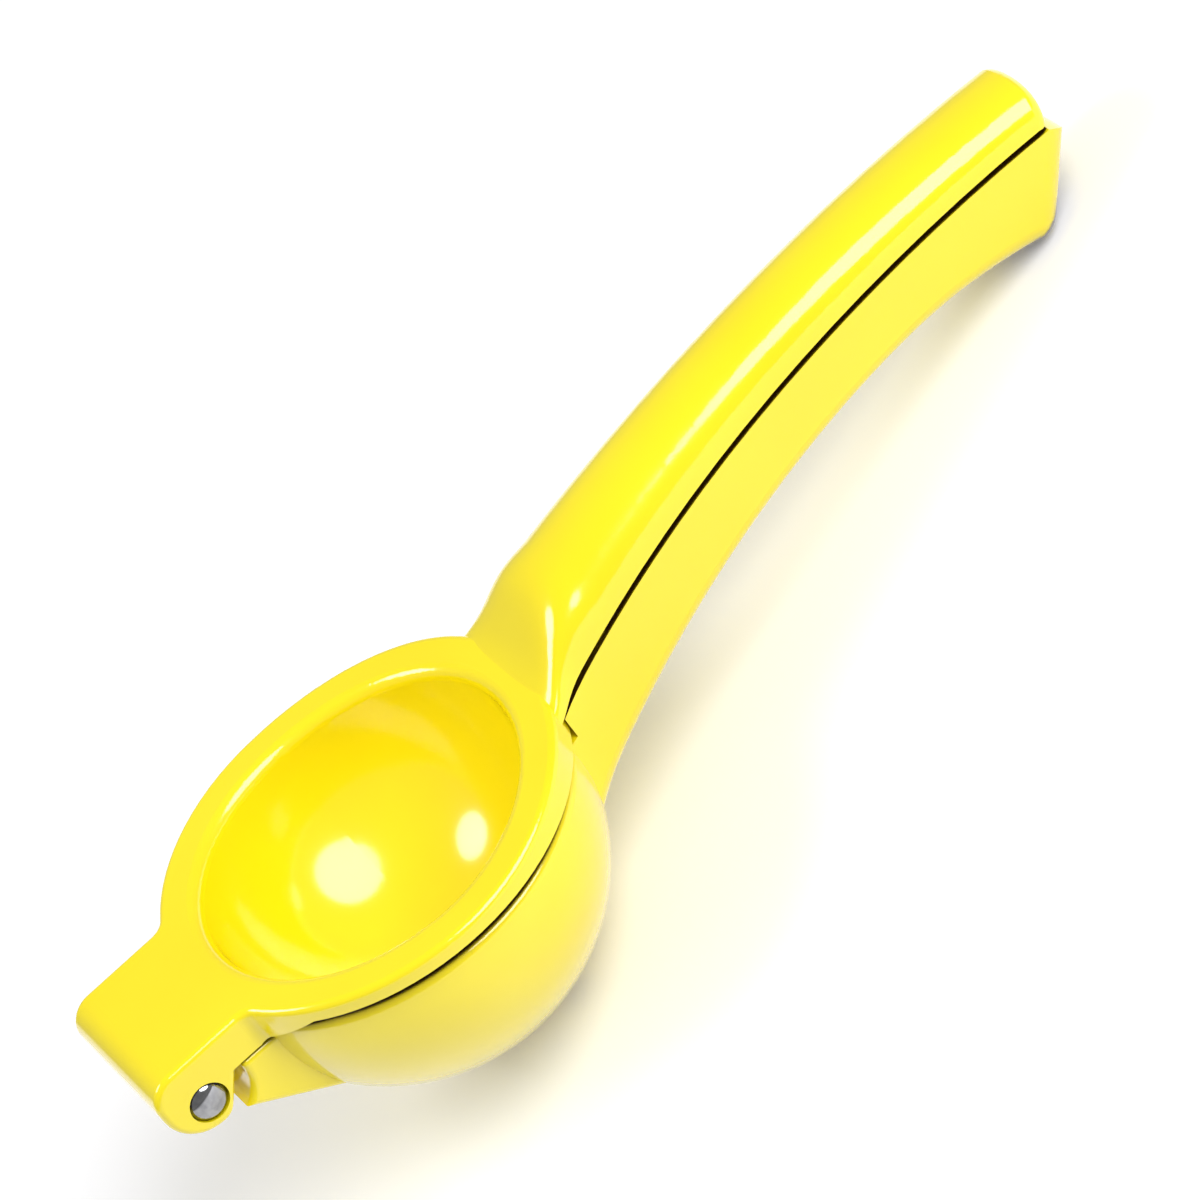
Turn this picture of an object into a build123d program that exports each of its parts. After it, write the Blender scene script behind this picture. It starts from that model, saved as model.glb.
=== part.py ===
from build123d import *
import os
from math import asin, atan2, cos, degrees, hypot, radians, sin, sqrt, tan

# Lemon squeezer, millimetres. Two cast levers on one riveted pin.
# Every piece is drawn in the levers' own frame: the bowl's axis is Z, the flange's flat top is Z = 0,
# the handles run to +X and the hinge lies at -X. The last section sets the closed squeezer down on a table.

# Press cup and flange
cup_radius = 29.6
cup_wall = 2.4
cup_lip_radius = 2.2
flange_overhang = 1.2
flange_thickness = 3.0
flange_edge_radius = 1.2
ramp_start = -4.0
ramp_rise = 4.5

# Strainer bowl
squeeze_gap = 1.2
bowl_wall = 2.8
bowl_centre_depth = 8.85
rim_gap = 2.0
rim_edge_radius = 1.8
root_clearance = 0.4
drain_hole_diameter = 4.4
drain_ring_spacing = 8.5
drain_ring_counts = (6, 12)

# Hinge
hinge_reach = 9.75
pin_depth = 9.05
pin_diameter = 5.2
pin_head_diameter = 7.0
pin_head_height = 2.4
pin_head_sink = 0.3
pin_dome_height = 1.2
pin_seat_clearance = 0.02
pin_running_clearance = 0.06
tab_width = 31.0
tab_thickness = 7.4
tab_step_inset = 10.2
tab_step_length = 8.0
tab_clearance = 0.4
tab_junction_radius = 3.0
nose_reach = 7.4
nose_radius = 5.0
nose_lip_drop = 0.5
ear_drop = 5.25
ear_back_reach = 1.9
ear_crook_reach = 6.85
ear_front_radius = 7.4
ear_back_radius = 3.2
ear_thickness = 7.6
knuckle_radius = 4.9
knuckle_clearance = 0.5
lug_front_radius = 7.55
lug_toe_drop = 6.33
lug_brow_radius = 0.8
lug_heel_inset = 9.0
lug_heel_depth = 26.3
lug_edge_radius = 1.2
neck_angle = 60.0
neck_root = 2.0

# Handles, seen from the side
handle_end = 155.4
handle_end_lean = 2.1
parting_crest = 137.8
parting_height = 18.8
parting_radius = 291.5
handle_gap = 1.1
crown_crest = 130.4
crown_height = 26.4
crown_radius = 316.3
facet_angle = 47.0
facet_foot_softness = 5.0
facet_foot_sink = 0.05
facet_top_softness = 3.0
arch_crest = 121.3
arch_height = 4.15
arch_root_depth = 18.1
bar_inset = 14.0
tip_foot = 143.1
tip_foot_height = 1.0
tip_head = 154.75
tip_radius = 4.5

# Handles, seen from above and in section
grip_half_width = 9.15
root_half_width = 13.1
root_reach = 2.7
root_flare_radius = 5.0
crown_blend = 14.0
upper_wall = 2.6
lower_wall = 2.6
lower_edge_radius = 4.0
handle_end_radius = 2.2
root_web_reach = 8.8
overrun = 5.0

# Counts of sections along the handles
upper_steps = 22
lower_steps = 16
core_steps = 8

# Shares chosen by eye
station_crowding_share = 1.3
width_taper_power_share = 4.0
arch_power_share = 1.75
flare_reach_share = 0.8
crown_fullness_share = 0.66
root_fullness_share = 0.9
tip_top_share = 0.4
upper_station_shares = [(step / upper_steps) ** station_crowding_share for step in range(upper_steps + 1)]
lower_station_shares = [step / lower_steps for step in range(lower_steps + 1)]
core_station_shares = [step / core_steps for step in range(core_steps + 1)]
cap_turn_shares = (0, 0.3, 0.6, 0.85, 1)

# Worked out from the sizes above
bowl_radius = cup_radius + cup_wall + squeeze_gap + bowl_wall
flange_radius = bowl_radius + flange_overhang
rim_depth = flange_thickness + rim_gap
ramp_run = flange_radius - ramp_start
ramp_radius = (ramp_run**2 + ramp_rise**2) / (2 * ramp_rise)
tab_half_width = tab_width / 2
tab_step_start_x = tab_step_inset - flange_radius
tab_step_end_x = tab_step_start_x - tab_step_length
tab_step_slope = (tab_thickness - flange_thickness) / tab_step_length
pin_x = -flange_radius - hinge_reach
pin_z = -pin_depth
nose_x = pin_x - nose_reach
ear_bottom_z = pin_z - ear_drop
ear_back_x = pin_x + ear_back_reach
ear_crook_x = pin_x + ear_crook_reach
pocket_half_width = tab_half_width - ear_thickness
knuckle_half_width = pocket_half_width - knuckle_clearance
head_seat = tab_half_width - pin_head_sink - pin_head_height
lug_top_depth = tab_thickness + tab_clearance
lug_shoulder_x = tab_step_end_x + (lug_top_depth - rim_depth) / tab_step_slope
lug_heel_x = lug_heel_inset - bowl_radius
lug_top_angle = asin((pin_depth - lug_top_depth) / lug_front_radius)
lug_toe_angle = -asin(lug_toe_drop / lug_front_radius)
lug_top_x = pin_x + lug_front_radius * cos(lug_top_angle)
lug_toe_x = pin_x + lug_front_radius * cos(lug_toe_angle)
lug_toe_z = pin_z - lug_toe_drop
root_distance = flange_radius + root_reach
root_web_end = flange_radius + root_web_reach
bar_start = bowl_radius - bar_inset
upper_start = cup_radius + cup_lip_radius
upper_end = handle_end - handle_end_radius


def parting_z(x, lift):
    """Height of the parting arc between the handles, moved out by lift."""
    radius = parting_radius + lift
    return parting_height - parting_radius + sqrt(radius**2 - (x - parting_crest) ** 2)


def half_width(x):
    """Half the width of both handles: a taper towards the grip and a small flare into the ring."""
    taper = max((handle_end - x) / (handle_end - root_distance), 0)
    into = min(max(root_distance - x, 0), root_flare_radius * flare_reach_share)
    flare = root_flare_radius - sqrt(root_flare_radius**2 - into**2)
    return grip_half_width + (root_half_width - grip_half_width) * taper**width_taper_power_share + flare


def ramp_z(x):
    """Height of the flange's top where it rises towards the handle."""
    return ramp_radius - sqrt(ramp_radius**2 - (x - ramp_start) ** 2)


def crown_z(x):
    """Height of the upper handle's top line: out of the flange, up a hollow facet, along the crown arc."""
    arc = crown_height - crown_radius + sqrt(crown_radius**2 - (x - crown_crest) ** 2)
    climb = hypot(x - upper_start, facet_foot_softness) - facet_foot_softness
    facet = ramp_z(x) - facet_foot_sink + climb * tan(radians(facet_angle))
    return (facet + arc - hypot(facet - arc, facet_top_softness)) / 2


def crown_fullness(x):
    """Share of its box that the upper handle's section fills: squarer beside the flange than further out."""
    away = min(max((x - flange_radius) / crown_blend, 0), 1)
    eased = away**2 * (3 - 2 * away)
    return root_fullness_share + (crown_fullness_share - root_fullness_share) * eased


def upper_section(share, inset, floor_drop, past):
    """Section of the upper handle, share of the way from the flange to its end, leaning out more and more."""
    foot_x = upper_start + share * (upper_end - upper_start)
    top_x = foot_x + share * handle_end_lean
    foot = Vector(foot_x, 0, parting_z(foot_x, handle_gap / 2))
    top = Vector(top_x, 0, crown_z(top_x))
    upright = (top - foot).normalized()
    forward = Vector(0, 1, 0).cross(upright)
    half = half_width(foot_x) - inset
    height = (top - foot).length - inset
    rise = (height + floor_drop) * crown_fullness(foot_x) - floor_drop
    reach = half * crown_fullness(foot_x)
    with BuildSketch(Plane(foot + forward * past, x_dir=(0, 1, 0), z_dir=forward)) as section:
        with BuildLine():
            Line((-half, -floor_drop), (half, -floor_drop))
            Bezier((half, -floor_drop), (half, rise), (reach, height), (0, height))
            Bezier((0, height), (-reach, height), (-half, rise), (-half, -floor_drop))
        make_face()
    return section.sketch


def upper_cap_section(turn):
    """Section of the upper handle's rounded end, where its edge has turned in by turn degrees."""
    past = handle_end_radius * sin(radians(turn))
    inset = handle_end_radius * (1 - cos(radians(turn)))
    return upper_section(1, inset, 0, past)


def underside_z(x):
    """Height of the lower handle's underside: a long arch from the bowl, then the short flare to the tip."""
    if x < arch_crest:
        drop = arch_height + arch_root_depth
        return arch_height - drop * ((arch_crest - x) / (arch_crest - bowl_radius)) ** arch_power_share
    drop = arch_height - tip_foot_height
    return arch_height - drop * ((x - arch_crest) / (tip_foot - arch_crest)) ** 2


def lower_ends(share):
    """Top and bottom points of the lower handle's section, share of the way from the bowl to the tip."""
    top_x = bar_start + share * (tip_head - bar_start)
    foot_x = bar_start + share * (tip_foot - bar_start)
    top = Vector(top_x, 0, parting_z(top_x, -handle_gap / 2))
    foot = Vector(foot_x, 0, underside_z(foot_x))
    return top, foot


def lower_section(share, inset, top_lift, past):
    """Section of the lower handle, square at the bowl and leaning more and more towards the slanted tip."""
    top, foot = lower_ends(share)
    upright = (top - foot).normalized()
    forward = Vector(0, 1, 0).cross(upright)
    half = half_width(top.X) - inset
    depth = (top - foot).length - inset
    corner = lower_edge_radius * half / half_width(top.X)
    with BuildSketch(Plane(top + forward * past, x_dir=(0, 1, 0), z_dir=forward)) as section:
        with BuildLine():
            Line((-half, top_lift), (half, top_lift))
            Line((half, top_lift), (half, corner - depth))
            TangentArc((half, corner - depth), (half - corner, -depth), tangent=(0, -1))
            Line((half - corner, -depth), (corner - half, -depth))
            TangentArc((corner - half, -depth), (-half, corner - depth), tangent=(-1, 0))
            Line((-half, corner - depth), (-half, top_lift))
        make_face()
    return section.sketch


def tip_section(turn):
    """Section of the lower handle's rounded tip, where its edge has turned in by turn degrees."""
    past = tip_radius * sin(radians(turn))
    inset = tip_radius * (1 - cos(radians(turn)))
    return lower_section(1, inset, -inset * tip_top_share, past)


def knuckle_side():
    """Side outline of the knuckle and the neck that ties it to the lug."""
    neck_rise = knuckle_radius * sin(radians(neck_angle))
    neck_run = knuckle_radius * cos(radians(neck_angle))
    lug_top = (lug_top_x + neck_root, -lug_top_depth)
    lug_toe = (lug_toe_x + neck_root, lug_toe_z)
    with BuildSketch(Plane.XZ) as outline:
        with Locations((pin_x, pin_z)):
            Circle(knuckle_radius)
        with BuildLine():
            Polyline(
                (pin_x, pin_z),
                (pin_x + neck_run, pin_z + neck_rise),
                lug_top,
                lug_toe,
                (pin_x + neck_run, pin_z - neck_rise),
                close=True,
            )
        make_face()
    return outline.sketch


# Press lever: flange, cup, hinge tab with two ears and a rolled nose, and the upper handle
with BuildPart() as press_casting:
    # Flange and tab from above, then cut to their side outline, which rises a little towards the handle
    with BuildSketch(Plane.XY.offset(ramp_rise)) as flange_plan:
        Circle(flange_radius)
        with Locations((nose_x / 2, 0)):
            Rectangle(-nose_x, tab_width)
        fillet(flange_plan.vertices().filter_by_position(Axis.X, -flange_radius, 0), tab_junction_radius)
    extrude(amount=ear_bottom_z - ramp_rise)
    with BuildSketch(Plane.XZ) as tab_side:
        with BuildLine():
            TangentArc((ramp_start, 0), (flange_radius, ramp_rise), tangent=(1, 0))
            Polyline(
                (flange_radius, ramp_rise),
                (flange_radius, -tab_thickness),
                (ear_crook_x, -tab_thickness),
                (ear_back_x, ear_bottom_z),
                (nose_x, ear_bottom_z),
                (nose_x, 0),
                (ramp_start, 0),
            )
        make_face()
        fillet(tab_side.vertices().sort_by_distance((nose_x, 0, 0))[0], nose_radius)
        fillet(tab_side.vertices().sort_by_distance((nose_x, ear_bottom_z, 0))[0], ear_front_radius)
        fillet(tab_side.vertices().sort_by_distance((ear_back_x, ear_bottom_z, 0))[0], ear_back_radius)
    extrude(amount=flange_radius, both=True, mode=Mode.INTERSECT)
    # One rounded edge runs round the flange, along the tab and over its ears
    fillet(press_casting.edges().filter_by(Axis.X).group_by(Axis.Z)[-1], flange_edge_radius)
    # The flange is thinner than the tab, with a slope between them
    with BuildSketch(Plane.XZ) as flange_underside:
        with BuildLine():
            Polyline(
                (flange_radius, -flange_thickness),
                (tab_step_start_x, -flange_thickness),
                (tab_step_end_x, -tab_thickness),
                (flange_radius, -tab_thickness),
                close=True,
            )
        make_face()
    extrude(amount=flange_radius, both=True, mode=Mode.SUBTRACT)
    # Outside of the press cup
    with BuildSketch(Plane.YZ) as dome:
        with BuildLine():
            CenterArc((0, 0), cup_radius + cup_wall, -90, 90)
            Line((cup_radius + cup_wall, 0), (0, 0))
            Line((0, 0), (0, -cup_radius - cup_wall))
        make_face()
    revolve(axis=Axis.Z)
    # Inside of the press cup, with its rounded lip
    with BuildSketch(Plane.YZ) as recess:
        with BuildLine():
            CenterArc((0, 0), cup_radius, -90, 90)
            Line((cup_radius, 0), (cup_radius, crown_height))
            Line((cup_radius, crown_height), (0, crown_height))
            Line((0, crown_height), (0, -cup_radius))
        make_face()
    revolve(axis=Axis.Z, mode=Mode.SUBTRACT)
    ring_middle = (flange_radius + cup_radius) / 2
    flat_top = press_casting.faces().sort_by_distance((-ring_middle, 0, 0))[0]
    ramp_top = press_casting.faces().sort_by_distance((ring_middle, 0, ramp_rise))[0]
    lip_reach = cup_radius + cup_lip_radius
    top_edges = flat_top.edges() + ramp_top.edges()
    lip_edges = [edge for edge in top_edges if hypot(edge.center().X, edge.center().Y) < lip_reach]
    fillet(lip_edges, cup_lip_radius)
    # Upper handle, with a rounded end
    loft(sections=[upper_section(share, 0, 0, 0) for share in upper_station_shares])
    loft(sections=[upper_cap_section(90 * share) for share in cap_turn_shares])
    # Hollow underneath the handle
    hollow_start = (root_web_end - upper_start) / (upper_end - upper_start)
    hollow_shares = [hollow_start + share * (1 - hollow_start) for share in core_station_shares]
    hollow_sections = [upper_section(share, upper_wall, overrun, 0) for share in hollow_shares]
    loft(sections=hollow_sections, mode=Mode.SUBTRACT)
    # Pocket between the ears, open below the nose's lip so that the neck can swing through
    with BuildSketch(Plane.XZ) as pocket:
        add(knuckle_side())
        offset(amount=knuckle_clearance)
        with BuildLine():
            Polyline(
                (nose_x - overrun, pin_z - nose_lip_drop),
                (lug_top_x, pin_z - nose_lip_drop),
                (lug_top_x, ear_bottom_z - overrun),
                (nose_x - overrun, ear_bottom_z - overrun),
                close=True,
            )
        make_face()
    extrude(amount=pocket_half_width, both=True, mode=Mode.SUBTRACT)
    # Pin hole through the ears and the seats of its two heads
    with BuildSketch(Plane.XZ) as ear_hole:
        with Locations((pin_x, pin_z)):
            Circle(pin_diameter / 2 + pin_seat_clearance)
    extrude(amount=tab_width, both=True, mode=Mode.SUBTRACT)
    for side in (1, -1):
        with BuildSketch(Plane.XZ.offset(side * head_seat)) as head_hole:
            with Locations((pin_x, pin_z)):
                Circle(pin_head_diameter / 2 + pin_seat_clearance)
        extrude(amount=side * tab_half_width, mode=Mode.SUBTRACT)

# Lug of the strainer lever, hollowed in front to clear the ears, with the knuckle that runs on the pin
with BuildPart() as lug_block:
    lug_middle_angle = (lug_top_angle + lug_toe_angle) / 2
    lug_middle = (
        pin_x + lug_front_radius * cos(lug_middle_angle),
        pin_z + lug_front_radius * sin(lug_middle_angle),
    )
    with BuildSketch(Plane.XZ) as lug_side:
        with BuildLine():
            Line((lug_heel_x, -lug_top_depth), (lug_top_x, -lug_top_depth))
            ThreePointArc((lug_top_x, -lug_top_depth), lug_middle, (lug_toe_x, lug_toe_z))
            Line((lug_toe_x, lug_toe_z), (lug_heel_x, -lug_heel_depth))
            Line((lug_heel_x, -lug_heel_depth), (lug_heel_x, -lug_top_depth))
        make_face()
        fillet(lug_side.vertices().sort_by_distance((lug_top_x, -lug_top_depth, 0))[0], lug_brow_radius)
    extrude(amount=tab_half_width, both=True)
    fillet(lug_block.faces().filter_by(Axis.Y).edges(), lug_edge_radius)
    # Knuckle, bored to run on the pin
    extrude(knuckle_side(), amount=knuckle_half_width, both=True)
    with BuildSketch(Plane.XZ) as knuckle_hole:
        with Locations((pin_x, pin_z)):
            Circle(pin_diameter / 2 + pin_running_clearance)
    extrude(amount=tab_width, both=True, mode=Mode.SUBTRACT)

# Strainer lever: perforated bowl, lug and knuckle, and the lower handle
with BuildPart() as strainer_casting:
    rim_angle = degrees(asin((bowl_centre_depth - rim_depth) / bowl_radius))
    rim_radius = bowl_radius * cos(radians(rim_angle))
    with BuildSketch(Plane.YZ) as bowl_outside:
        with BuildLine():
            CenterArc((0, -bowl_centre_depth), bowl_radius, -90, 90 + rim_angle)
            Line((rim_radius, -rim_depth), (0, -rim_depth))
            Line((0, -rim_depth), (0, -bowl_centre_depth - bowl_radius))
        make_face()
        fillet(bowl_outside.vertices().sort_by_distance((rim_radius, -rim_depth, 0))[0], rim_edge_radius)
    revolve(axis=Axis.Z)
    # Room for the thick end of the hinge tab
    with BuildSketch(Plane.XZ) as tab_room:
        with BuildLine():
            Polyline(
                (lug_shoulder_x, -rim_depth),
                (tab_step_end_x, -lug_top_depth),
                (nose_x, -lug_top_depth),
                (nose_x, 0),
                (lug_shoulder_x, 0),
                close=True,
            )
        make_face()
    extrude(amount=flange_radius, both=True, mode=Mode.SUBTRACT)
    # Arched lower handle with its slanted, rounded tip
    loft(sections=[lower_section(share, 0, 0, 0) for share in lower_station_shares])
    loft(sections=[tip_section(90 * share) for share in cap_turn_shares])
    add(lug_block.part)
    # Channel inside the handle, open at the parting
    channel_start = (root_web_end - bar_start) / (tip_head - bar_start)
    channel_shares = [channel_start + share * (1 - channel_start) for share in core_station_shares]
    channel_sections = [lower_section(share, lower_wall, overrun, 0) for share in channel_shares]
    loft(sections=channel_sections, mode=Mode.SUBTRACT)
    # Room for the flange, and the bowl's cavity
    with BuildSketch(Plane.XY.offset(-rim_depth)) as flange_room:
        Circle(flange_radius + root_clearance)
    extrude(amount=crown_height, mode=Mode.SUBTRACT)
    cavity_radius = bowl_radius - bowl_wall
    cavity_angle = degrees(asin((bowl_centre_depth - rim_depth) / cavity_radius))
    cavity_rim = cavity_radius * cos(radians(cavity_angle))
    with BuildSketch(Plane.YZ) as cavity:
        with BuildLine():
            CenterArc((0, -bowl_centre_depth), cavity_radius, -90, 90 + cavity_angle)
            Line((cavity_rim, -rim_depth), (cavity_rim, 0))
            Line((cavity_rim, 0), (0, 0))
            Line((0, 0), (0, -bowl_centre_depth - cavity_radius))
        make_face()
    revolve(axis=Axis.Z, mode=Mode.SUBTRACT)
    # Drain holes, one in the middle and two rings
    with BuildSketch(Plane.XY.offset(-bowl_centre_depth)) as drain:
        Circle(drain_hole_diameter / 2)
        for ring, count in enumerate(drain_ring_counts, start=1):
            with PolarLocations(ring * drain_ring_spacing, count):
                Circle(drain_hole_diameter / 2)
    extrude(amount=-bowl_radius - overrun, mode=Mode.SUBTRACT)

# Hinge pin: a rivet with a domed head at each end
with BuildPart() as pin_blank:
    with BuildSketch(Plane((pin_x, 0, pin_z), x_dir=(0, 1, 0), z_dir=(0, 0, 1))) as pin_half:
        with BuildLine():
            Polyline(
                (0, 0),
                (0, pin_diameter / 2),
                (head_seat, pin_diameter / 2),
                (head_seat, pin_head_diameter / 2),
                (head_seat + pin_head_height, pin_head_diameter / 2),
            )
            dome_radius = (pin_dome_height**2 + (pin_head_diameter / 2) ** 2) / (2 * pin_dome_height)
            RadiusArc(
                (head_seat + pin_head_height, pin_head_diameter / 2),
                (head_seat + pin_head_height + pin_dome_height, 0),
                dome_radius,
            )
            Line((head_seat + pin_head_height + pin_dome_height, 0), (0, 0))
        make_face()
    revolve(axis=Axis((pin_x, 0, pin_z), (0, 1, 0)))
    mirror(about=Plane.XZ)

# Closed squeezer set down on a table: it rests on the bowl and on the flared tip of the lower handle
tip_top, tip_bottom = lower_ends(1)
tip_centre = tip_bottom + (tip_top - tip_bottom).normalized() * tip_radius
centre_run = tip_centre.X
centre_rise = tip_centre.Z + bowl_centre_depth
centre_angle = degrees(atan2(centre_rise, centre_run))
tangent_angle = degrees(asin((bowl_radius - tip_radius) / hypot(centre_run, centre_rise)))
lay_down = Rot(0, centre_angle + tangent_angle, 0)
laid_pieces = Compound([lay_down * piece.part for piece in (press_casting, strainer_casting, pin_blank)])
laid_box = laid_pieces.bounding_box()
rest = Pos(-laid_box.center().X, 0, -laid_box.min.Z) * lay_down

with BuildPart() as press_lever:
    add(rest * press_casting.part)
with BuildPart() as strainer_lever:
    add(rest * strainer_casting.part)
with BuildPart() as hinge_pin:
    add(rest * pin_blank.part)

press_lever.part.label = "press_lever"
strainer_lever.part.label = "strainer_lever"
hinge_pin.part.label = "hinge_pin"

os.makedirs("parts", exist_ok=True)
export_step(press_lever.part, "parts/press_lever.step")
export_step(strainer_lever.part, "parts/strainer_lever.step")
export_step(hinge_pin.part, "parts/hinge_pin.step")
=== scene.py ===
"""Looks of the lemon squeezer: enamelled castings, steel hinge pin, studio light and camera."""

import logging
import math
from dataclasses import dataclass, field
from enum import Enum
from typing import ClassVar

import bpy
from mathutils import Euler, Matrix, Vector


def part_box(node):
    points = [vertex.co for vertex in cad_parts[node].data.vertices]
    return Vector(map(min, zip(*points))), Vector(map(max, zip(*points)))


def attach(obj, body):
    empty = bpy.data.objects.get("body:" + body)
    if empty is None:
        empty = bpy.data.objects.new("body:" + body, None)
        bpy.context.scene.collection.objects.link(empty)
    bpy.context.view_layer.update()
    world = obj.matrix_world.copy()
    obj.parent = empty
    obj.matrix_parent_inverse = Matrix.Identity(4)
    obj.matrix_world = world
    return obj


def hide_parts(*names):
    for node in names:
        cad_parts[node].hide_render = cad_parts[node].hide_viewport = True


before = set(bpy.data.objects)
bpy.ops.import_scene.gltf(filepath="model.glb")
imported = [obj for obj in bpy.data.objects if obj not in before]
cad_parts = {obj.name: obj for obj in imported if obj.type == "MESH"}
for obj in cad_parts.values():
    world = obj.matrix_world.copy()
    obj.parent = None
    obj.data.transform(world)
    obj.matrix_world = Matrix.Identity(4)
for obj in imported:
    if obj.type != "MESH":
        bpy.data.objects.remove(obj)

LOG = logging.getLogger("lemon_squeezer")
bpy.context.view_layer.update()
WHITE = (1.0, 1.0, 1.0, 1.0)

Triple = tuple[float, float, float]
Span = tuple[float, float]


class Body(Enum):
    """The two rigid bodies of the squeezer."""

    STRAINER = "strainer"
    PRESS = "press"


class Slot(Enum):
    """Material slots that the record names."""

    ENAMEL = "enamel"
    STEEL = "pin_steel"


class Rule(Enum):
    """Ways in which a Math node makes one value."""

    PRODUCT = "MULTIPLY"
    LARGER = "MAXIMUM"
    DISTANCE = "ABSOLUTE"


@dataclass(frozen=True)
class Grain:
    """A noise pattern: cells for each metre, octaves, and how much finer it is along X, Y and Z."""

    scale: float
    detail: float
    stretch: Triple = (1.0, 1.0, 1.0)


@dataclass(frozen=True)
class GapShade:
    """Shade painted into the enamel's colour in the mouths of the narrow gaps between the levers.

    The openness stops pair a share of open sky with a share of shade, so that open surfaces and the walls
    deep inside a gap keep the plain colour. The spans are places in the squeezer's own frame, with the ring
    level, its middle at the origin and the handles along X. Each says where the shade is none and where it is
    full.
    """

    # painted shade: the near-black colour that goes over the enamel where the gap mouths are dark
    colour: Triple = (0.03, 0.011, 0.001)
    reach: float = 0.008
    samples: int = 16
    openness: tuple[Span, ...] = ((0.02, 0.0), (0.06, 1.0), (0.45, 1.0), (0.58, 0.0))
    tilt: float = math.radians(-17.746)
    shift: Triple = (0.06228, 0.0, -0.02672)
    cup_wall: Span = (0.0314, 0.0324)
    tab_underside: Span = (-0.009, -0.0075)
    root_start: Span = (0.0325, 0.0315)
    root_end: Span = (0.047, 0.049)
    root_edge: Span = (0.0100, 0.0112)
    notch_top: Span = (-0.0012, -0.0004)


def make_active(piece: bpy.types.Object) -> None:
    """Makes one piece the only selected and the active object.

    Args:
        piece: The object that the next operators act on.
    """
    bpy.ops.object.select_all(action="DESELECT")
    piece.select_set(True)
    bpy.context.view_layer.objects.active = piece


class NodeTree:
    """A material's node tree with short ways to add and join nodes."""

    def __init__(self, name: str) -> None:
        """Starts a material with an output and no shader.

        Args:
            name: The material's name.
        """
        self.material = bpy.data.materials.new(name)
        self.material.use_nodes = True
        self.nodes = self.material.node_tree.nodes
        self.links = self.material.node_tree.links
        self.nodes.clear()
        self.output = self.add("ShaderNodeOutputMaterial")

    def add(self, kind: str, constants: dict[str, float | tuple[float, ...]] | None = None) -> bpy.types.Node:
        """Adds a node.

        Args:
            kind: The node's type.
            constants: Values of the inputs that nothing is joined to, by their names.

        Returns:
            The new node.
        """
        node = self.nodes.new(kind)
        for name, value in (constants or {}).items():
            node.inputs[name].default_value = value
        return node

    def join(self, source: bpy.types.Node, out: str, target: bpy.types.Node, into: str) -> None:
        """Joins one node's output to another node's input."""
        self.links.new(source.outputs[out], target.inputs[into])

    def combine(self, rule: Rule, *values: bpy.types.NodeSocket | float) -> bpy.types.NodeSocket:
        """Makes one value of others.

        Args:
            rule: How the value is made.
            values: Outputs of nodes, or constants.

        Returns:
            The output that holds the value.
        """
        node = self.add("ShaderNodeMath")
        node.operation = rule.value
        for value, socket in zip(values, node.inputs):
            if isinstance(value, float):
                socket.default_value = value
            else:
                self.links.new(value, socket)
        return node.outputs["Value"]


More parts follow.
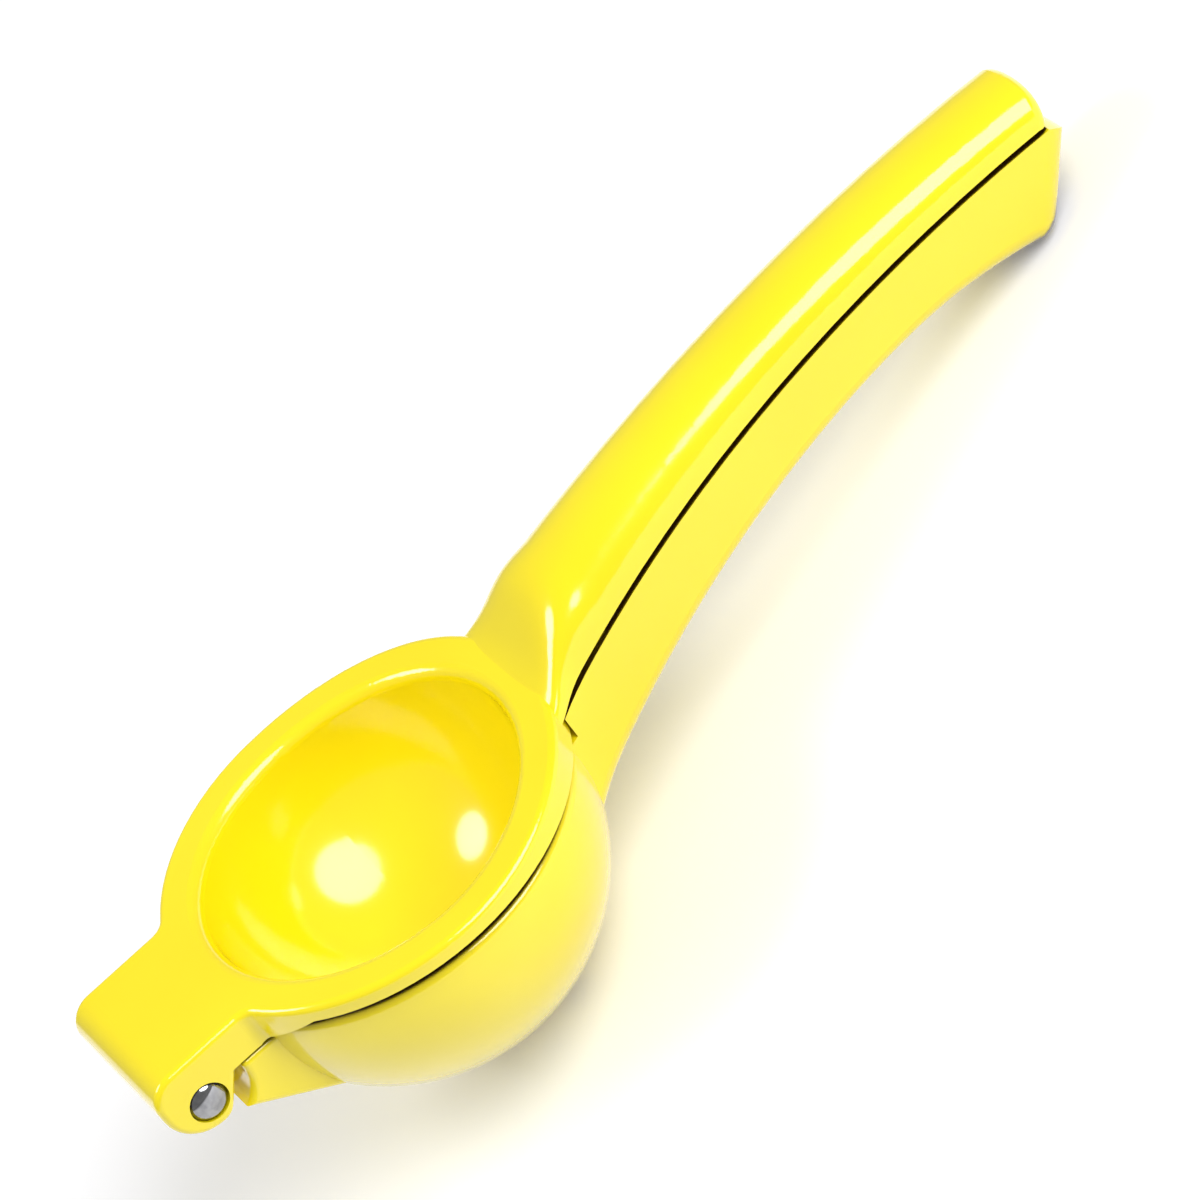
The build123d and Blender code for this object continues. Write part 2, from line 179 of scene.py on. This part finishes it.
class SurfaceTree(NodeTree):
    """The node tree of a piece's finish: a Principled shader whose patterns read the piece's own place."""

    ramp_middle: ClassVar[float] = 0.5
    flat: ClassVar[Triple] = (1.0, 1.0, 0.0)

    def __init__(self, name: str) -> None:
        """Starts a material with a Principled shader.

        Args:
            name: The material's name.
        """
        super().__init__(name)
        self.shader = self.add("ShaderNodeBsdfPrincipled")
        self.join(self.shader, "BSDF", self.output, "Surface")
        self.place = self.add("ShaderNodeTexCoord")

    def noise(self, grain: Grain) -> bpy.types.Node:
        """Adds a noise texture.

        Args:
            grain: The noise pattern.

        Returns:
            The noise node.
        """
        mapping = self.add("ShaderNodeMapping", {"Scale": grain.stretch})
        self.join(self.place, "Object", mapping, "Vector")
        texture = self.add("ShaderNodeTexNoise", {"Scale": grain.scale, "Detail": grain.detail})
        self.join(mapping, "Vector", texture, "Vector")
        return texture

    def ramp(self, stops: list[tuple[float, Triple]]) -> bpy.types.Node:
        """Adds a colour ramp.

        Args:
            stops: Places from 0 to 1, each with its linear colour.

        Returns:
            The ramp node.
        """
        ramp = self.add("ShaderNodeValToRGB")
        elements = ramp.color_ramp.elements
        while len(elements) < len(stops):
            elements.new(self.ramp_middle)
        for element, (place, colour) in zip(elements, stops):
            element.position = place
            element.color = (*colour, 1.0)
        return ramp

    def colours(self, grain: Grain, stops: list[tuple[float, Triple]]) -> None:
        """Colours the shader by a noise pattern, with linear colours at places from 0 to 1."""
        ramp = self.ramp(stops)
        self.join(self.noise(grain), "Fac", ramp, "Fac")
        self.join(ramp, "Color", self.shader, "Base Color")

    def limit(self, value: bpy.types.NodeSocket, span: Span) -> bpy.types.NodeSocket:
        """Turns a value into a share that is 0 at the span's first place and 1 at its second."""
        spread = self.add("ShaderNodeMapRange", {"From Min": span[0], "From Max": span[1]})
        self.links.new(value, spread.inputs["Value"])
        return spread.outputs["Result"]

    def gap_shade_zone(self, shade: GapShade) -> bpy.types.NodeSocket:
        """Marks where shade is painted: the narrow gaps round the cup and along the handles, told from wider
        ones.

        Args:
            shade: The shade with its places.

        Returns:
            A share that is 1 outside the cup's wall and above the tab's underside, and 0 in the cup, below
            the tab, in the notch under the handle's root and in the middle of the root.
        """
        level = self.add("ShaderNodeMapping", {"Rotation": (0.0, shade.tilt, 0.0), "Location": shade.shift})
        self.join(self.place, "Object", level, "Vector")
        parts = self.add("ShaderNodeSeparateXYZ")
        self.join(level, "Vector", parts, "Vector")
        flattened = self.add("ShaderNodeVectorMath")
        flattened.operation = "MULTIPLY"
        flattened.inputs[1].default_value = self.flat
        self.links.new(level.outputs["Vector"], flattened.inputs[0])
        radius = self.add("ShaderNodeVectorMath")
        radius.operation = "LENGTH"
        self.links.new(flattened.outputs["Vector"], radius.inputs[0])
        around = self.limit(radius.outputs["Value"], shade.cup_wall)
        above = self.limit(parts.outputs["Z"], shade.tab_underside)
        before_root = self.limit(parts.outputs["X"], shade.root_start)
        past_root = self.limit(parts.outputs["X"], shade.root_end)
        at_edge = self.limit(self.combine(Rule.DISTANCE, parts.outputs["Y"]), shade.root_edge)
        over_notch = self.limit(parts.outputs["Z"], shade.notch_top)
        beside_notch = self.combine(Rule.LARGER, before_root, over_notch)
        off_root = self.combine(Rule.LARGER, before_root, past_root)
        near_mouth = self.combine(Rule.LARGER, off_root, at_edge)
        outside = self.combine(Rule.PRODUCT, around, above)
        return self.combine(Rule.PRODUCT, outside, self.combine(Rule.PRODUCT, beside_notch, near_mouth))

    def paint_gap_shade(self, shade: GapShade) -> None:
        """Paints shade into the base colour at the mouths of the narrow gaps between the levers, where little
        light gets in.

        Args:
            shade: The painted shade, which goes over the colours that the shader already has.
        """
        # painted shade: ambient occlusion darkens the base colour towards the shade's near-black colour in
        # the gap mouths
        sky = self.add("ShaderNodeAmbientOcclusion", {"Distance": shade.reach})
        sky.samples = shade.samples
        ramp = self.ramp([(openness, (share, share, share)) for openness, share in shade.openness])
        self.join(sky, "AO", ramp, "Fac")
        blend = self.add("ShaderNodeMixRGB", {"Color2": (*shade.colour, 1.0)})
        plain = self.shader.inputs["Base Color"].links[0].from_socket
        shade_share = self.combine(Rule.PRODUCT, ramp.outputs["Color"], self.gap_shade_zone(shade))
        self.links.new(shade_share, blend.inputs["Fac"])
        self.links.new(plain, blend.inputs["Color1"])
        self.join(blend, "Color", self.shader, "Base Color")

    def gloss(self, grain: Grain, span: Span) -> None:
        """Spreads the shader's roughness between two values by a noise pattern."""
        spread = self.add("ShaderNodeMapRange", {"To Min": span[0], "To Max": span[1]})
        self.join(self.noise(grain), "Fac", spread, "Value")
        self.join(spread, "Result", self.shader, "Roughness")

    def relief(self, grain: Grain, strength: float, depth: float) -> None:
        """Gives the shader a fine relief of the given depth in metres."""
        bump = self.add("ShaderNodeBump", {"Strength": strength, "Distance": depth})
        self.join(self.noise(grain), "Fac", bump, "Height")
        self.join(bump, "Normal", self.shader, "Normal")


@dataclass(frozen=True)
class EnamelFinish:
    """Glossy lemon-yellow enamel: faint clouding, orange-peel skin, painted shade in the gap mouths."""

    clouds: Grain = Grain(28.0, 3.0)
    thin: tuple[float, Triple] = (0.35, (0.93, 0.755, 0.003))
    full: tuple[float, Triple] = (0.68, (0.96, 0.80, 0.006))
    gap_shade: GapShade = GapShade()
    sheen: Grain = Grain(60.0, 2.0)
    roughness: Span = (0.13, 0.20)
    skin: Grain = Grain(420.0, 1.0)
    skin_strength: float = 0.12
    skin_depth: float = 0.00002
    refraction: float = 1.5
    coat: float = 0.85
    coat_roughness: float = 0.09

    def material(self) -> bpy.types.Material:
        """Builds the enamel's nodes.

        Returns:
            The finished material.
        """
        tree = SurfaceTree("lemon_enamel")
        tree.colours(self.clouds, [self.thin, self.full])
        # paints shade into the enamel's colour at the mouths of the gaps between the levers
        tree.paint_gap_shade(self.gap_shade)
        tree.gloss(self.sheen, self.roughness)
        tree.relief(self.skin, self.skin_strength, self.skin_depth)
        tree.shader.inputs["IOR"].default_value = self.refraction
        tree.shader.inputs["Coat Weight"].default_value = self.coat
        tree.shader.inputs["Coat Roughness"].default_value = self.coat_roughness
        return tree.material


@dataclass(frozen=True)
class SteelFinish:
    """Polished rivet steel with fine hammer marks."""

    grain: Grain = Grain(700.0, 3.0, (1.0, 0.4, 1.0))
    dark: tuple[float, Triple] = (0.3, (0.27, 0.27, 0.28))
    light: tuple[float, Triple] = (0.7, (0.42, 0.42, 0.43))
    sheen: Grain = Grain(900.0, 2.0)
    roughness: Span = (0.06, 0.14)
    marks: Grain = Grain(500.0, 2.0)
    mark_strength: float = 0.15
    mark_depth: float = 0.00003

    def material(self) -> bpy.types.Material:
        """Builds the steel's nodes.

        Returns:
            The finished material.
        """
        tree = SurfaceTree("rivet_steel")
        tree.colours(self.grain, [self.dark, self.light])
        tree.gloss(self.sheen, self.roughness)
        tree.relief(self.marks, self.mark_strength, self.mark_depth)
        tree.shader.inputs["Metallic"].default_value = 1.0
        return tree.material


@dataclass
class Casting:
    """An enamelled lever: the CAD casting itself, with the enamel in its slot."""

    node: str
    body: Body
    finish: bpy.types.Material

    def build(self) -> None:
        """Puts the enamel on the casting."""
        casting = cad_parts[self.node]
        casting.data.materials.clear()
        casting.data.materials.append(self.finish)
        LOG.info("%s on %s: %d faces", self.node, self.body.value, len(casting.data.polygons))


@dataclass
class HingePin:
    """The riveted hinge pin: a straight shank between two full round heads."""

    finish: bpy.types.Material
    shank_radius: float = 0.0026
    head_height: float = 0.0021
    head_sink: float = 0.0003
    dome_steps: int = 14
    turn_steps: int = 72
    merge_distance: float = 1e-6
    crease_angle: float = math.radians(40.0)

    def half_profile(self, radius: float, reach: float) -> list[tuple[float, float]]:
        """Gives the pin's outline from the top of one head to the start of the shank.

        Args:
            radius: The head's radius.
            reach: How far the head's top is from the pin's middle.

        Returns:
            Pairs of the distance from the middle and the distance from the axis.
        """
        dome = []
        for step in range(self.dome_steps + 1):
            turn = 0.5 * math.pi * step / self.dome_steps
            dome.append((reach - self.head_height * (1.0 - math.cos(turn)), radius * math.sin(turn)))
        seat = reach - self.head_height - self.head_sink
        return dome + [(seat, radius), (seat, self.shank_radius)]

    def spin(self, piece: bpy.types.Object, middle: Vector) -> None:
        """Turns the outline that the piece holds into a closed, smooth solid.

        Args:
            piece: The piece with the outline as edges.
            middle: A point on the axis, which runs along Y.
        """
        make_active(piece)
        bpy.ops.object.mode_set(mode="EDIT")
        bpy.ops.mesh.select_all(action="SELECT")
        bpy.ops.mesh.spin(steps=self.turn_steps, angle=math.tau, center=middle, axis=(0.0, 1.0, 0.0))
        bpy.ops.mesh.select_all(action="SELECT")
        bpy.ops.mesh.remove_doubles(threshold=self.merge_distance)
        bpy.ops.mesh.normals_make_consistent(inside=False)
        bpy.ops.object.mode_set(mode="OBJECT")
        bpy.ops.object.shade_smooth_by_angle(angle=self.crease_angle)

    def build(self) -> None:
        """Makes the pin inside the CAD pin's box."""
        low, high = (Vector(corner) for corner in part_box("hinge_pin"))
        middle = (low + high) / 2
        half = self.half_profile((high.x - low.x) / 2, (high.y - low.y) / 2)
        outline = [(-along, out) for along, out in half] + half[::-1]
        points = [middle + Vector((0.0, along, out)) for along, out in outline]
        mesh = bpy.data.meshes.new("rivet_pin")
        mesh.from_pydata(points, [(i, i + 1) for i in range(len(points) - 1)], [])
        piece = bpy.data.objects.new("rivet_pin", mesh)
        bpy.context.scene.collection.objects.link(piece)
        self.spin(piece, middle)
        piece.data.materials.append(self.finish)
        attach(piece, Body.PRESS.value)
        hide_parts("hinge_pin")
        LOG.info("%s on %s: %d faces", piece.name, Body.PRESS.value, len(piece.data.polygons))


@dataclass(frozen=True)
class Lamp:
    """A round softbox that hangs over the table and looks at the bowl.

    The direction is seen from the bowl, lengths are in metres and the power is in watts. A lamp that isn't
    mirrored lights the squeezer but doesn't show in its gloss.
    """

    name: str
    direction: Triple
    distance: float
    width: float
    power: float
    mirrored: bool = True
    bowl: ClassVar[Vector] = Vector((-0.05, 0.0, 0.03))

    def build(self) -> None:
        """Hangs the lamp in its direction from the bowl."""
        place = self.bowl + Vector(self.direction).normalized() * self.distance
        bpy.ops.object.light_add(type="AREA", location=place)
        lamp = bpy.context.active_object
        lamp.name = self.name
        lamp.data.shape = "DISK"
        lamp.data.size = self.width
        lamp.data.energy = self.power
        lamp.visible_glossy = self.mirrored
        lamp.rotation_euler = (place - self.bowl).to_track_quat("Z", "Y").to_euler()
        LOG.info("lamp %s", self.name)


@dataclass(frozen=True)
class Table:
    """The white table top, which glows a little where the camera or a gloss sees it."""

    width: float = 8.0
    drop: float = 0.0001
    colour: Triple = (0.87, 0.87, 0.89)
    glow: float = 0.16

    def material(self) -> bpy.types.Material:
        """Builds the table's nodes.

        Returns:
            The finished material.
        """
        tree = NodeTree("white_table")
        matte = tree.add("ShaderNodeBsdfDiffuse", {"Color": (*self.colour, 1.0)})
        glow = tree.add("ShaderNodeEmission", {"Color": WHITE})
        path = tree.add("ShaderNodeLightPath")
        seen = path.outputs["Is Camera Ray"]
        for kind in ("Is Glossy Ray", "Is Transmission Ray"):
            seen = tree.combine(Rule.LARGER, seen, path.outputs[kind])
        tree.links.new(tree.combine(Rule.PRODUCT, seen, self.glow), glow.inputs["Strength"])
        both = tree.add("ShaderNodeAddShader")
        tree.links.new(matte.outputs["BSDF"], both.inputs[0])
        tree.links.new(glow.outputs["Emission"], both.inputs[1])
        tree.join(both, "Shader", tree.output, "Surface")
        return tree.material

    def build(self) -> None:
        """Lays the table top under the squeezer."""
        bpy.ops.object.select_all(action="DESELECT")
        bpy.ops.mesh.primitive_plane_add(size=self.width, location=(0.0, 0.0, -self.drop))
        table = bpy.context.active_object
        table.name = "table_top"
        table.data.materials.append(self.material())
        LOG.info("table %s", table.name)


@dataclass(frozen=True)
class PhotoCamera:
    """The camera where the photograph was taken from: angles in degrees, lens and sensor in millimetres."""

    aim: Triple = (-0.000066, -0.004835, 0.033185)
    distance: float = 1.046
    azimuth: float = -85.6409
    elevation: float = 37.7483
    roll: float = -58.79
    lens: float = 197.6377
    sensor_width: float = 36.0
    clip_start: float = 0.01

    def build(self) -> None:
        """Stands the camera in its place, turned to its aim."""
        azimuth, elevation = math.radians(self.azimuth), math.radians(self.elevation)
        level = math.cos(elevation)
        back = Vector((level * math.cos(azimuth), level * math.sin(azimuth), math.sin(elevation)))
        bpy.ops.object.camera_add(location=Vector(self.aim) + back * self.distance)
        camera = bpy.context.active_object
        roll = Euler((0.0, 0.0, math.radians(self.roll))).to_quaternion()
        camera.rotation_euler = (back.to_track_quat("Z", "Y") @ roll).to_euler()
        camera.data.sensor_width = self.sensor_width
        camera.data.lens = self.lens
        camera.data.clip_start = self.clip_start
        bpy.context.scene.camera = camera


@dataclass
class Studio:
    """White table, soft lamps, a weakly lit room and the camera."""

    table: Table = field(default_factory=Table)
    lamps: list[Lamp] = field(
        default_factory=lambda: [
            Lamp("right_softbox", (0.554, -0.529, 0.643), 1.2, 0.90, 13.2),
            Lamp("rear_softbox", (-0.444, 0.301, 0.844), 1.2, 0.50, 4.3),
            Lamp("left_fill", (-0.7, 0.3, 0.65), 1.5, 1.40, 4.5, mirrored=False),
        ]
    )
    room_level: float = 0.3
    camera: PhotoCamera = field(default_factory=PhotoCamera)

    def build(self) -> None:
        """Sets up the table, the room, the lamps and the camera."""
        self.table.build()
        self.light_room()
        for lamp in self.lamps:
            lamp.build()
        self.camera.build()
        bpy.context.scene.view_settings.view_transform = "Standard"

    def light_room(self) -> None:
        """Fills the room with weak white light."""
        world = bpy.data.worlds.new("studio_room")
        world.use_nodes = True
        background = world.node_tree.nodes["Background"]
        background.inputs["Color"].default_value = WHITE
        background.inputs["Strength"].default_value = self.room_level
        bpy.context.scene.world = world


def main() -> None:
    """Dresses the squeezer and sets up the studio."""
    logging.basicConfig(level=logging.INFO)
    finishes = {Slot.ENAMEL: EnamelFinish().material(), Slot.STEEL: SteelFinish().material()}
    Casting("press_lever", Body.PRESS, finishes[Slot.ENAMEL]).build()
    Casting("strainer_lever", Body.STRAINER, finishes[Slot.ENAMEL]).build()
    HingePin(finishes[Slot.STEEL]).build()
    Studio().build()


if __name__ == "__main__":
    main()
